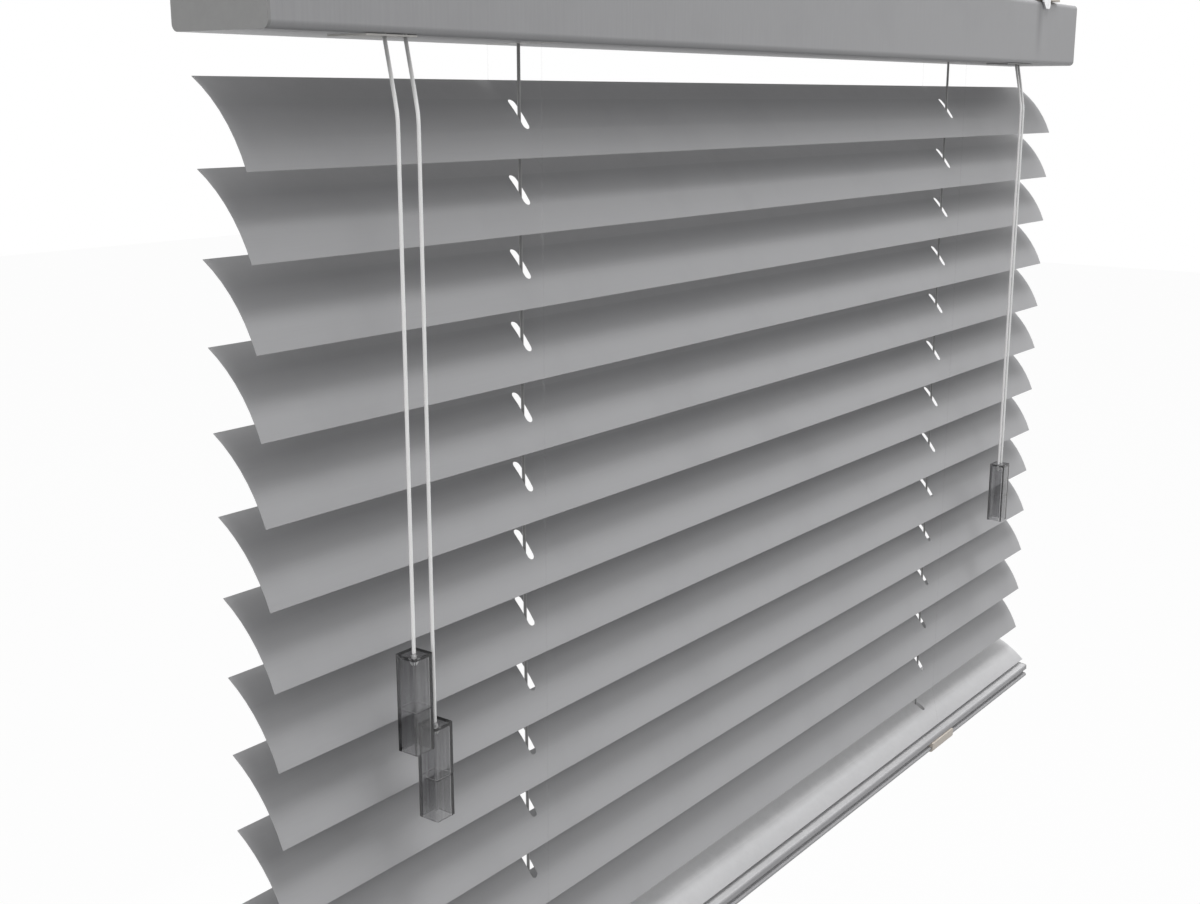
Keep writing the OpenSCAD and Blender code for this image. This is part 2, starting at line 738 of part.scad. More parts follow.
// The rail's lower part grown outwards, with its rounded lower corners
module clip_outline(grown) {
    w = rail_edge + grown;
    r = rail_foot_r + grown;
    low = rail_bottom - grown;
    high = rail_top + groove_top - fit;
    translate([-w, low + r]) square([2 * w, high - low - r]);
    translate([-w + r, low]) square([2 * (w - r), r]);
    for (side = [-1, 1]) translate([side * (w - r), low + r]) circle(r = r, $fn = round_fn);
}

// Free cords and tassels

function route_end(route) = route[len(route) - 1];

// A free cord along its route, with a knot below the tassel's top
module free_cord(route) {
    below = route_end(route) - [0, 0, tassel_top_t + gap];
    knot = [for (dz = [0.2, -1, 1 - cord_knot_h, -cord_knot_h]) below + [0, 0, dz]];
    plain = [for (p = route) cord_d / 2];
    cord_tube(concat(route, knot), concat(plain, [cord_d / 2, cord_knot_r, cord_knot_r, cord_d / 2]));
}

function flipped(route, side) = [for (p = route) [side * p[0], p[1], p[2]]];

module tilt_cord(side) {
    route = side < 0 ? tilt_route_left : tilt_route_right;
    color(cord_white) translate([tilter_x + side * spool_cord_r, exit_y, underside]) free_cord(route);
}

module lift_tail(side) {
    color(cord_white) translate([cord_exit_x(side), exit_y, underside]) free_cord(flipped(lift_route, -side));
}

module square_outline(w, r) {
    square([w - 2 * r, w], center = true);
    square([w, w - 2 * r], center = true);
    for (x = [-1, 1]) for (y = [-1, 1]) translate([x * (w / 2 - r), y * (w / 2 - r)]) circle(r = r, $fn = 32);
}

// A tassel hung by its cords' knots, with its top at the origin
module tassel(holes) {
    seam_z = -tassel_h * tassel_seam;
    color(smoke, 0.6) difference() {
        translate([0, 0, -tassel_h]) linear_extrude(height = tassel_h) square_outline(tassel_w, 0.8);
        translate([0, 0, -tassel_h - cut]) linear_extrude(height = tassel_h + cut - tassel_top_t)
            square_outline(tassel_w - 2 * tassel_t, 0.5);
        translate([0, 0, seam_z]) linear_extrude(height = 0.5) difference() {
            square([2 * tassel_w, 2 * tassel_w], center = true);
            square_outline(tassel_w - 0.8, 0.6);
        }
        for (x = holes) translate([x, 0, -tassel_top_t - cut])
            cylinder(h = tassel_top_t + 2 * cut, d = cord_hole_d, $fn = 32);
    }
}

module tilt_tassel(side) {
    end = route_end(side < 0 ? tilt_route_left : tilt_route_right);
    translate([tilter_x + side * spool_cord_r, tassel_y, underside + end[2]]) tassel([0]);
}

module lift_tassel() {
    end = route_end(lift_route);
    translate([lock_x, tassel_y, underside + end[2]]) tassel([end[0] - exit_part, exit_part - end[0]]);
}

head_rail();
head_cap(-1);  // head_cap_left
head_cap(1);  // head_cap_right
bracket(-1);  // bracket_left
bracket(1);  // bracket_right
latch(-1);  // latch_left
latch(1);  // latch_right
tilt_rod();
ladder_drum(-1);  // ladder_drum_left
ladder_drum(1);  // ladder_drum_right
drum_cradle(-1);  // drum_cradle_left
drum_cradle(1);  // drum_cradle_right
tilter_housing();
tilter_gear();
tilter_worm();
tilter_plate();
cord_lock();
cord_lock_roller();
cord_lock_plate();
ladder(-1);  // ladder_left
ladder(1);  // ladder_right
lift_cord(-1);  // lift_cord_left
lift_cord(1);  // lift_cord_right
bottom_rail();
rail_cap(-1);  // rail_cap_left
rail_cap(1);  // rail_cap_right
ladder_clips();
tilt_cord(-1);  // tilt_cord_left
tilt_cord(1);  // tilt_cord_right
lift_tail(-1);  // lift_tail_left
lift_tail(1);  // lift_tail_right
tilt_tassel(-1);  // tilt_tassel_left
tilt_tassel(1);  // tilt_tassel_right
lift_tassel();
for (i = [1 : slat_count]) slat(i);
for (i = [2 : slat_count - 1]) rungs(i);
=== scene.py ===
"""Looks of an aluminium venetian blind: lacquered slats and rails, ladders, cords and smoky tassels."""

import json
import math

import bpy
from mathutils import Matrix, Vector


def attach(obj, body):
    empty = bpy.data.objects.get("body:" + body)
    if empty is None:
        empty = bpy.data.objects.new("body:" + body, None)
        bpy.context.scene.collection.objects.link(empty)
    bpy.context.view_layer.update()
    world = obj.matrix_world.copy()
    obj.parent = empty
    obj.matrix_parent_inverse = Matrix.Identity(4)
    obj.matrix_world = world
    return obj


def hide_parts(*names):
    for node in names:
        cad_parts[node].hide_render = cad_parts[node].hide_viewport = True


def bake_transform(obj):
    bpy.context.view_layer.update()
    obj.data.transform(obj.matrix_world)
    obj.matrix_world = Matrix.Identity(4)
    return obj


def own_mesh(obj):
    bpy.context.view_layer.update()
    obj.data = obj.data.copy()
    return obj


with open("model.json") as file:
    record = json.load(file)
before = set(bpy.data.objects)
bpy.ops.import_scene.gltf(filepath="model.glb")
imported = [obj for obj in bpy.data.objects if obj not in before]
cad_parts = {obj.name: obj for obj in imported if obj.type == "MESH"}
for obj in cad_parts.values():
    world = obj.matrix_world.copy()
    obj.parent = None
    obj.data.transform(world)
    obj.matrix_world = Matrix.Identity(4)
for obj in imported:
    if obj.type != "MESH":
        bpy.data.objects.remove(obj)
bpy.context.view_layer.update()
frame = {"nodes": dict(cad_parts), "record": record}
nodes = frame["nodes"]

# Sizes and places, in metres, as the part has them
SIDES = {"left": -1, "right": 1}
GAP = 0.0003

# Head rail, with the rod and the ladder drums in it
UNDERSIDE = -0.054
HEAD_SHEET = 0.0008
FLOOR_IN_RAIL = UNDERSIDE + HEAD_SHEET
ROD_HEIGHT = 0.030
ROD_Z = UNDERSIDE + ROD_HEIGHT
DRUM_R = 0.010
LADDER_X = 0.260

# Slats
SLAT_COUNT = 14
SLAT_PITCH = 0.0382
HALF_SLAT = 0.025
SLAT_CROWN = 0.0041
HALF_SHEET = 0.00015
SLAT_TILT = math.radians(50.6)
LAST_TILT = math.radians(24.6)
TILT_LIMIT = math.radians(65)
HEAD_TO_SLAT = 0.0346
FIRST_SLAT_Z = UNDERSIDE - HEAD_TO_SLAT
LAST_SLAT_Z = FIRST_SLAT_Z - SLAT_PITCH * (SLAT_COUNT - 1)

# Bottom rail
SLAT_TO_RAIL = 0.0168
RAIL_TOP = LAST_SLAT_Z - SLAT_TO_RAIL
RAIL_EDGE = 0.0255
RAIL_CROWN = 0.0016
GROOVE_BELOW_EDGE = 0.005
GROOVE_TOP = RAIL_TOP - RAIL_CROWN - GROOVE_BELOW_EDGE

# Cords, and where they leave the head rail
CORD_R = 0.0009
CORD_SIDES = 10
EXIT_Y = -0.026
TILTER_X = -0.375
SPOOL_R = 0.0065
LOCK_X = 0.334
CORD_PART = 0.005
EXIT_PART = 0.0025
TURN_R = 0.0058
BEND_R = 0.005
KNOT_R = 0.0016

# Ladder strings beside the slats' edges
STRING_R = 0.0004
STRING_SIDES = 8
STRING_GAP = GAP + STRING_R
RUNG_DROP = SLAT_CROWN + HALF_SHEET + STRING_GAP


def slat_z(i):
    return FIRST_SLAT_Z - SLAT_PITCH * (i - 1)


def slat_tilt(i):
    return LAST_TILT if i == SLAT_COUNT else SLAT_TILT


def tip_y(face, tilt):
    """How far back from a slat's pivot its front (-1) or back (1) edge is."""
    return face * HALF_SLAT * math.cos(tilt) + SLAT_CROWN * math.sin(tilt)


def tip_z(face, tilt):
    """How far above a slat's pivot its front or back edge is."""
    return face * HALF_SLAT * math.sin(tilt) - SLAT_CROWN * math.cos(tilt)


def string_y(face, tilt):
    """Where a ladder string runs, clear of the slats' edges and, at the back, of their rungs."""
    if face < 0:
        return min(tip_y(face, tilt), tip_y(face, -TILT_LIMIT)) - STRING_GAP
    return HALF_SLAT * math.cos(tilt) + (RUNG_DROP + STRING_R) * math.sin(tilt) + STRING_GAP


def last_string_y(face):
    """Where a ladder string comes to the last slat."""
    if face < 0:
        return tip_y(face, LAST_TILT) - STRING_GAP
    return string_y(face, LAST_TILT)


# Shader node helpers


def add(tree, kind, **values):
    """A node whose plain settings and input values are given by name."""
    node = tree.nodes.new(kind)
    for name, value in values.items():
        if name in node.inputs:
            node.inputs[name].default_value = value
        else:
            setattr(node, name, value)
    return node


def join(tree, a, b):
    tree.links.new(a, b)


def shader_group(name, inputs, outputs):
    """An empty node group with float inputs of given values and named outputs."""
    tree = bpy.data.node_groups.new(name, "ShaderNodeTree")
    for label, value in inputs.items():
        socket = tree.interface.new_socket(label, in_out="INPUT", socket_type="NodeSocketFloat")
        socket.default_value = value
    for label in outputs:
        tree.interface.new_socket(label, in_out="OUTPUT", socket_type="NodeSocketFloat")
    return tree, tree.nodes.new("NodeGroupInput"), tree.nodes.new("NodeGroupOutput")


def math_node(tree, operation, a, b):
    node = add(tree, "ShaderNodeMath", operation=operation)
    for k, value in enumerate((a, b)):
        if isinstance(value, (int, float)):
            node.inputs[k].default_value = value
        else:
            join(tree, value, node.inputs[k])
    return node.outputs[0]


def grain_group():
    """Streaks that are finer one way than another, as drawn metal and mouldings have, and a soft mottle."""
    sizes = {"Fine X": 45.0, "Fine Y": 2600.0, "Fine Z": 2600.0, "Mottle": 55.0}
    tree, given, out = shader_group("Grain", sizes, ["Streaks", "Mottle"])
    where = add(tree, "ShaderNodeTexCoord")
    scale = add(tree, "ShaderNodeCombineXYZ")
    for axis in "XYZ":
        join(tree, given.outputs["Fine " + axis], scale.inputs[axis])
    stretch = add(tree, "ShaderNodeVectorMath", operation="MULTIPLY")
    join(tree, where.outputs["Object"], stretch.inputs[0])
    join(tree, scale.outputs[0], stretch.inputs[1])
    streaks = add(tree, "ShaderNodeTexNoise", Scale=1.0, Detail=3.0, Roughness=0.6)
    join(tree, stretch.outputs[0], streaks.inputs["Vector"])
    mottle = add(tree, "ShaderNodeTexNoise", Detail=4.0, Roughness=0.62)
    join(tree, where.outputs["Object"], mottle.inputs["Vector"])
    join(tree, given.outputs["Mottle"], mottle.inputs["Scale"])
    join(tree, streaks.outputs[0], out.inputs["Streaks"])
    join(tree, mottle.outputs[0], out.inputs["Mottle"])
    return tree


def edge_wear_and_shade_group():
    """A mask along edges, broken up by noise."""
    tree, given, out = shader_group("Edge wear and edge shade", {"Width": 0.0006, "Breakup": 220.0}, ["Mask"])
    rounded = add(tree, "ShaderNodeBevel", samples=4)
    join(tree, given.outputs["Width"], rounded.inputs["Radius"])
    surface = add(tree, "ShaderNodeNewGeometry")
    likeness = add(tree, "ShaderNodeVectorMath", operation="DOT_PRODUCT")
    join(tree, rounded.outputs[0], likeness.inputs[0])
    join(tree, surface.outputs["Normal"], likeness.inputs[1])
    where = add(tree, "ShaderNodeTexCoord")
    noise = add(tree, "ShaderNodeTexNoise", Detail=3.0)
    join(tree, where.outputs["Object"], noise.inputs["Vector"])
    join(tree, given.outputs["Breakup"], noise.inputs["Scale"])
    turned = math_node(tree, "SUBTRACT", 1.0, likeness.outputs["Value"])
    edge = add(tree, "ShaderNodeMapRange", **{"From Min": 0.01, "From Max": 0.22})
    join(tree, turned, edge.inputs["Value"])
    broken = add(tree, "ShaderNodeMapRange", **{"From Min": 0.35, "From Max": 0.65})
    join(tree, noise.outputs[0], broken.inputs["Value"])
    join(tree, math_node(tree, "MULTIPLY", edge.outputs[0], broken.outputs[0]), out.inputs["Mask"])
    return tree


THIN_DUST_AND_TOP_LIGHT = 0.66
THICK_DUST_AND_TOP_LIGHT = 1.25


def dust_and_top_light_group():
    """A thin pale film on faces that look up: partly dust, partly painted light from above."""
    tree, given, out = shader_group("Dust film and painted top light", {"Scale": 90.0, "Amount": THIN_DUST_AND_TOP_LIGHT}, ["Mask"])
    surface = add(tree, "ShaderNodeNewGeometry")
    facing = add(tree, "ShaderNodeSeparateXYZ")
    join(tree, surface.outputs["Normal"], facing.inputs[0])
    where = add(tree, "ShaderNodeTexCoord")
    noise = add(tree, "ShaderNodeTexNoise", Detail=5.0, Roughness=0.7)
    join(tree, where.outputs["Object"], noise.inputs["Vector"])
    join(tree, given.outputs["Scale"], noise.inputs["Scale"])
    up = add(tree, "ShaderNodeMapRange", **{"From Min": 0.7, "From Max": 0.95})
    join(tree, facing.outputs["Z"], up.inputs["Value"])
    patchy = {"From Min": 0.2, "From Max": 0.8, "To Min": 0.75, "To Max": 1.25}
    uneven = add(tree, "ShaderNodeMapRange", **patchy)
    join(tree, noise.outputs[0], uneven.inputs["Value"])
    dust_and_light_film = math_node(tree, "MULTIPLY", up.outputs[0], uneven.outputs[0])
    join(tree, math_node(tree, "MULTIPLY", dust_and_light_film, given.outputs["Amount"]), out.inputs["Mask"])
    return tree


def braid_group():
    """Crossing strands round a cord, from its UV map: across is once round, along is in metres."""
    tree, given, out = shader_group("Braid", {"Strands": 8.0, "Pitch": 620.0}, ["Height", "Shade"])
    around = add(tree, "ShaderNodeUVMap", uv_map="cord")
    parts = add(tree, "ShaderNodeSeparateXYZ")
    join(tree, around.outputs[0], parts.inputs[0])
    turn = math_node(tree, "MULTIPLY", parts.outputs["X"], given.outputs["Strands"])
    along = math_node(tree, "MULTIPLY", parts.outputs["Y"], given.outputs["Pitch"])
    waves = []
    for way in ("ADD", "SUBTRACT"):
        phase = math_node(tree, "MULTIPLY", math_node(tree, way, turn, along), math.pi)
        waves.append(math_node(tree, "ABSOLUTE", math_node(tree, "SINE", phase, 0.0), 0.0))
    height = math_node(tree, "MAXIMUM", waves[0], waves[1])
    join(tree, height, out.inputs["Height"])
    join(tree, math_node(tree, "MULTIPLY", waves[0], waves[1]), out.inputs["Shade"])
    return tree


GRAIN = grain_group()
WEAR_AND_EDGE_SHADE = edge_wear_and_shade_group()
DUST_AND_TOP_LIGHT = dust_and_top_light_group()
BRAID = braid_group()


class Finish:
    """A material with one Principled shader, and the nodes that vary its colour, roughness and normal."""

    def __init__(self, name, **constants):
        self.material = bpy.data.materials.new(name)
        self.material.use_nodes = True
        self.tree = self.material.node_tree
        self.shader = self.tree.nodes["Principled BSDF"]
        for label, value in constants.items():
            self.shader.inputs[label.replace("_", " ")].default_value = value

    def group(self, tree, **values):
        node = self.tree.nodes.new("ShaderNodeGroup")
        node.node_tree = tree
        for label, value in values.items():
            node.inputs[label.replace("_", " ")].default_value = value
        return node

    def grain(self, x, y, z, mottle):
        return self.group(GRAIN, Fine_X=x, Fine_Y=y, Fine_Z=z, Mottle=mottle)

    def ramp(self, mask, low, high, low_at=0.35, high_at=0.65):
        """A colour between two, by a mask."""
        node = self.tree.nodes.new("ShaderNodeValToRGB")
        node.color_ramp.elements[0].position = low_at
        node.color_ramp.elements[1].position = high_at
        node.color_ramp.elements[0].color = (*low, 1)
        node.color_ramp.elements[1].color = (*high, 1)
        join(self.tree, mask, node.inputs[0])
        return node.outputs[0]

    def over(self, colour, mask, top):
        """A plain colour laid over another where a mask is white."""
        node = add(self.tree, "ShaderNodeMix", data_type="RGBA")
        join(self.tree, mask, node.inputs["Factor"])
        for socket in node.inputs:
            if socket.type == "RGBA" and socket.name == "A":
                join(self.tree, colour, socket)
            if socket.type == "RGBA" and socket.name == "B":
                socket.default_value = (*top, 1)
        return next(s for s in node.outputs if s.type == "RGBA")

    def share(self, value, start, end, most):
        """A mask that grows from nothing to its most as a value goes from a start to an end."""
        node = add(self.tree, "ShaderNodeMapRange", **{"From Min": start, "From Max": end, "To Max": most})
        join(self.tree, value, node.inputs["Value"])
        return node.outputs[0]

    def colour(self, socket):
        join(self.tree, socket, self.shader.inputs["Base Color"])

    def roughness(self, mask, low, high):
        span = {"From Min": 0.3, "From Max": 0.7, "To Min": low, "To Max": high}
        node = add(self.tree, "ShaderNodeMapRange", **span)
        join(self.tree, mask, node.inputs["Value"])
        join(self.tree, node.outputs[0], self.shader.inputs["Roughness"])

    def bump(self, height, strength, distance):
        node = add(self.tree, "ShaderNodeBump", Strength=strength, Distance=distance)
        join(self.tree, height, node.inputs["Height"])
        join(self.tree, node.outputs[0], self.shader.inputs["Normal"])


DUST_AND_TOP_LIGHT_GREY = (0.6, 0.6, 0.606)


def lacquer(name, low, high, cloud, edge, lay, mottle, wear_width, dust_and_top_light=THIN_DUST_AND_TOP_LIGHT):
    """Satin lacquer over aluminium, with the metal's grain under it, which lies as its three sizes say."""
    finish = Finish(name, Metallic=0.12, Specular_IOR_Level=0.4)
    grain = finish.grain(*lay, mottle)
    wear = finish.group(WEAR_AND_EDGE_SHADE, Width=wear_width)
    # The film is dust and painted light from above, lightening faces that look up.
    dust_and_light_film = finish.group(DUST_AND_TOP_LIGHT, Amount=dust_and_top_light)
    base = finish.ramp(grain.outputs["Streaks"], low, high, low_at=0.2, high_at=0.8)
    clouds = finish.share(grain.outputs["Mottle"], start=0.48, end=0.72, most=0.5)
    clouded = finish.over(base, clouds, cloud)
    worn = finish.over(clouded, wear.outputs["Mask"], edge)
    finish.colour(finish.over(worn, dust_and_light_film.outputs["Mask"], DUST_AND_TOP_LIGHT_GREY))
    finish.roughness(grain.outputs["Streaks"], low=0.42, high=0.56)
    finish.bump(grain.outputs["Streaks"], strength=0.06, distance=0.0001)
    return finish


def painted_tongue_shadow(finish, colour, centre, half, top, length, shade):
    """A soft dark painted shadow on the front of a rail, which fades downwards from where the bracket's
    tongue ends.
    """
    tree = finish.tree
    where = add(tree, "ShaderNodeSeparateXYZ")
    join(tree, add(tree, "ShaderNodeTexCoord").outputs["Object"], where.inputs[0])
    facing = add(tree, "ShaderNodeSeparateXYZ")
    join(tree, add(tree, "ShaderNodeNewGeometry").outputs["Normal"], facing.inputs[0])
    away = math_node(tree, "ABSOLUTE", math_node(tree, "SUBTRACT", where.outputs["X"], centre), 0.0)
    near = finish.share(away, start=half, end=0.0, most=1.0)
    front = finish.share(facing.outputs["Y"], start=-0.5, end=-0.95, most=1.0)
    fading = finish.share(where.outputs["Z"], start=top - length, end=top, most=0.75)
    mask = math_node(tree, "MULTIPLY", math_node(tree, "MULTIPLY", near, front), fading)
    return finish.over(colour, mask, shade)


BRIGHT_EDGE = (0.86, 0.86, 0.85)


def plated_steel(name, low, high):
    """Bare or plated steel, drawn along its length, with bright edges."""
    finish = Finish(name, Metallic=0.9)
    grain = finish.grain(x=160.0, y=1800.0, z=1800.0, mottle=240.0)
    wear = finish.group(WEAR_AND_EDGE_SHADE, Width=0.0005)
    base = finish.ramp(grain.outputs["Mottle"], low, high)
    finish.colour(finish.over(base, wear.outputs["Mask"], BRIGHT_EDGE))
    finish.roughness(grain.outputs["Streaks"], low=0.28, high=0.46)
    finish.bump(grain.outputs["Streaks"], strength=0.15, distance=0.0001)
    return finish


def moulding(name, low, high, edge):
    """Moulded plastic with a fine spark texture and paler edges."""
    finish = Finish(name, Specular_IOR_Level=0.45)
    grain = finish.grain(x=900.0, y=900.0, z=900.0, mottle=140.0)
    wear = finish.group(WEAR_AND_EDGE_SHADE, Width=0.0004)
    base = finish.ramp(grain.outputs["Mottle"], low, high)
    finish.colour(finish.over(base, wear.outputs["Mask"], edge))
    finish.roughness(grain.outputs["Mottle"], low=0.42, high=0.58)
    finish.bump(grain.outputs["Streaks"], strength=0.18, distance=0.00015)
    return finish


def braided(name, low, high, painted_exit_shade=None):
    """A braid; one given a painted shade is dark where it leaves the head rail, as the head rail's shadow
    there, and plain further down.
    """
    finish = Finish(name, Sheen_Weight=1.0, Sheen_Roughness=0.6, Specular_IOR_Level=0.5)
    braid = finish.group(BRAID)
    colour = finish.ramp(braid.outputs["Height"], low, high, low_at=0.2, high_at=0.9)
    if painted_exit_shade:
        # The dark grey near the exit is painted shade: the head rail's shadow on the hanging cord.
        length = add(finish.tree, "ShaderNodeSeparateXYZ")
        join(finish.tree, add(finish.tree, "ShaderNodeUVMap", uv_map="cord").outputs[0], length.inputs[0])
        exit_shade_mask = finish.share(length.outputs["Y"], start=0.034, end=0.01, most=0.9)
        colour = finish.over(colour, exit_shade_mask, painted_exit_shade)
    finish.colour(colour)
    finish.roughness(braid.outputs["Height"], low=0.5, high=0.7)
    finish.bump(braid.outputs["Height"], strength=0.6, distance=0.00015)
    return finish


SMOKE_GREY = (0.5, 0.5, 0.505)


def smoky(name):
    """Clear grey moulding that is darker the further one looks through it, with fine flow lines down it and
    painted shade along its edges.
    """
    finish = Finish(name, Transmission_Weight=1.0, IOR=1.45, Specular_IOR_Level=0.5)
    grain = finish.grain(x=600.0, y=600.0, z=8.0, mottle=160.0)
    # Painted shade: the tassel's edges and corners darkened to smoke grey.
    corner = finish.group(WEAR_AND_EDGE_SHADE, Width=0.0008)
    base = finish.ramp(grain.outputs["Streaks"], low=(0.7, 0.7, 0.705), high=(0.98, 0.98, 0.985))
    finish.colour(finish.over(base, corner.outputs["Mask"], SMOKE_GREY))
    finish.roughness(grain.outputs["Mottle"], low=0.02, high=0.08)
    finish.bump(grain.outputs["Streaks"], strength=0.12, distance=0.0002)
    smoke = add(finish.tree, "ShaderNodeVolumeAbsorption", Color=(*SMOKE_GREY, 1), Density=330.0)
    join(finish.tree, smoke.outputs[0], finish.tree.nodes["Material Output"].inputs["Volume"])
    return finish


def filament(name):
    """Clear monofilament, barely seen."""
    finish = Finish(name, Alpha=0.025, Specular_IOR_Level=0.5)
    grain = finish.grain(x=300.0, y=300.0, z=60.0, mottle=400.0)
    finish.colour(finish.ramp(grain.outputs["Mottle"], low=(0.62, 0.62, 0.625), high=(0.72, 0.72, 0.725)))
    finish.roughness(grain.outputs["Streaks"], low=0.2, high=0.32)
    finish.bump(grain.outputs["Streaks"], strength=0.05, distance=0.0001)
    return finish


SLAT_COAT = dict(low=(0.332, 0.332, 0.34), high=(0.357, 0.357, 0.366), cloud=(0.307, 0.307, 0.315),
                 edge=(0.43, 0.43, 0.435), lay=(30.0, 2400.0, 2400.0), mottle=14.0, wear_width=0.0003)
RAIL_COAT = dict(low=(0.318, 0.318, 0.327), high=(0.37, 0.37, 0.38), cloud=(0.308, 0.308, 0.317),
                 edge=(0.46, 0.46, 0.46), lay=(700.0, 700.0, 30.0), mottle=14.0, wear_width=0.0005)
GREY_CAP = dict(low=(0.278, 0.278, 0.277), high=(0.302, 0.302, 0.301), edge=(0.35, 0.35, 0.35))
CREAM = dict(low=(0.56, 0.51, 0.45), high=(0.62, 0.57, 0.51), edge=(0.7, 0.66, 0.6))
PALE = dict(low=(0.5, 0.49, 0.47), high=(0.57, 0.56, 0.54), edge=(0.66, 0.65, 0.63))
# The white braid's dark grey near the exit is painted shade.
WHITE_BRAID = dict(low=(0.9, 0.9, 0.895), high=(0.98, 0.98, 0.975), painted_exit_shade=(0.2, 0.2, 0.2))
# The grey braid is painted shade: the same white cord, darkened where the lift cords hang in the shade of the
# head rail and slats.
SHADE_PAINTED_BRAID = dict(low=(0.12, 0.12, 0.12), high=(0.22, 0.22, 0.22))
FINISHES = {
    "slat_aluminium": lacquer("Slat lacquer", **SLAT_COAT),
    # The last slat lies flatter and takes a thicker film, painted light from above that its flatter face
    # catches more of.
    "last_slat": lacquer("Slat lacquer, dust and painted top light", **SLAT_COAT, dust_and_top_light=THICK_DUST_AND_TOP_LIGHT),
    "rail_aluminium": lacquer("Rail lacquer", **RAIL_COAT),
    "cap_grey": moulding("Grey cap", **GREY_CAP),
    "bracket_steel": plated_steel("Zinc plate", low=(0.62, 0.62, 0.63), high=(0.74, 0.74, 0.75)),
    "rod_steel": plated_steel("Drawn steel", low=(0.5, 0.5, 0.5), high=(0.62, 0.62, 0.62)),
    "cream_plastic": moulding("Cream moulding", **CREAM),
    "pale_plastic": moulding("Pale moulding", **PALE),
    "cord_white": braided("White braid", **WHITE_BRAID),
    "cord_grey": braided("Shade-painted braid", **SHADE_PAINTED_BRAID),
    "ladder_string": filament("Clear filament"),
    "tassel_smoke": smoky("Smoky plastic"),
}
# Painted shadow under the right bracket's tongue, on the front of the head rail.
TONGUE_SHADOW = dict(centre=0.366, half=0.009, top=-0.008, length=0.046, shade=(0.16, 0.16, 0.165))
rails = FINISHES["rail_aluminium"]
plain_coat = rails.shader.inputs["Base Color"].links[0].from_socket
rails.colour(painted_tongue_shadow(rails, plain_coat, **TONGUE_SHADOW))
SMOOTH_UNDER = math.radians(28)


def dress(obj, slot):
    obj.data.materials.clear()
    obj.data.materials.append(FINISHES[slot].material)


for part in frame["record"]["subparts"]:
    solid = nodes[part["node"]]
    dress(solid, part["material_slot"])
    solid.data.polygons.foreach_set("use_smooth", [True] * len(solid.data.polygons))
    solid.data.set_sharp_from_angle(angle=SMOOTH_UNDER)
dress(nodes[f"slat_{SLAT_COUNT}"], "last_slat")


# Cords and strings
NEAR_NOTHING = 1e-9
CORD_SHARP = math.radians(50)


def smooth_line(points, step):
    """Points along a smooth curve through the given ones, about a step apart."""
    points = [Vector(p) for p in points]
    line = []
    for k in range(len(points) - 1):
        a, b = points[k], points[k + 1]
        before = points[k - 1] if k else a - (b - a)
        after = points[k + 2] if k + 2 < len(points) else b + (b - a)
        count = max(2, round((b - a).length / step))
        from_a = (b - before) * ((b - a).length / max((b - before).length, NEAR_NOTHING))
        to_b = (after - a) * ((b - a).length / max((after - a).length, NEAR_NOTHING))
        for n in range(count):
            t = n / count
            at_b = 3 * t**2 - 2 * t**3
            leaving = t**3 - 2 * t**2 + t
            arriving = t**3 - t**2
            line.append((1 - at_b) * a + leaving * from_a + at_b * b + arriving * to_b)
    line.append(points[-1])
    return line


def line_length(line):
    return sum((b - a).length for a, b in zip(line, line[1:]))


def tube_parts(line, radii, sides, run):
    """Vertices, faces and UVs of a closed tube along a line, with a radius at each point.

    The UVs count the cord's length, from the run that lies before the line.
    """
    verts, faces, uvs = [], [], []
    for k, p in enumerate(line):
        ahead = (line[min(k + 1, len(line) - 1)] - line[max(k - 1, 0)]).normalized()
        side = ahead.cross(Vector((1, 1, 1))).normalized()
        up = side.cross(ahead)
        for s in range(sides):
            angle = 2 * math.pi * s / sides
            verts.append(p + radii[k] * (math.cos(angle) * side + math.sin(angle) * up))
        if k:
            last, run = run, run + (p - line[k - 1]).length
            for s in range(sides):
                t = (s + 1) % sides
                faces.append([(k - 1) * sides + s, (k - 1) * sides + t, k * sides + t, k * sides + s])
                here, there = s / sides, (s + 1) / sides
                uvs.append([(here, last), (there, last), (there, run), (here, run)])
    for ring, order in ((0, -1), (len(line) - 1, 1)):
        faces.append([ring * sides + s for s in range(sides)][::order])
        uvs.append([(0.0, 0.0)] * sides)
    return verts, faces, uvs


def cord_piece(name, runs, slot, body=None, sides=CORD_SIDES, before=0.0):
    """One mesh of one or more tubes, each a line and its radii, with the cord's length before them."""
    verts, faces, uvs = [], [], []
    for line, radii in runs:
        tube_verts, tube_faces, tube_uvs = tube_parts(line, radii, sides, before)
        faces += [[n + len(verts) for n in face] for face in tube_faces]
        verts += tube_verts
        uvs += tube_uvs
    mesh = bpy.data.meshes.new(name)
    mesh.from_pydata(verts, [], faces)
    layer = mesh.uv_layers.new(name="cord")
    layer.data.foreach_set("uv", [n for face in uvs for corner in face for n in corner])
    mesh.polygons.foreach_set("use_smooth", [True] * len(mesh.polygons))
    mesh.set_sharp_from_angle(angle=CORD_SHARP)
    obj = bpy.data.objects.new(name, mesh)
    bpy.context.scene.collection.objects.link(obj)
    dress(obj, slot)
    if body:
        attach(obj, body)
    return obj


def even(line, radius):
    """A line with the same radius all along it."""
    return line, [radius] * len(line)


# How far down a knot, and how wide it is there, as shares of its height and radius
KNOT_SHAPE = [(0.0, 0.5), (0.12, 0.8), (0.3, 1.0), (0.45, 0.88),
              (0.6, 1.0), (0.8, 0.85), (0.92, 0.55), (1.0, 0.48)]


def knot(top, height, radius):
    """A tied knot below a point, as a line and radii."""
    line = [Vector(top) - Vector((0, 0, height * share)) for share, _ in KNOT_SHAPE]
    return line, [radius * width for _, width in KNOT_SHAPE]


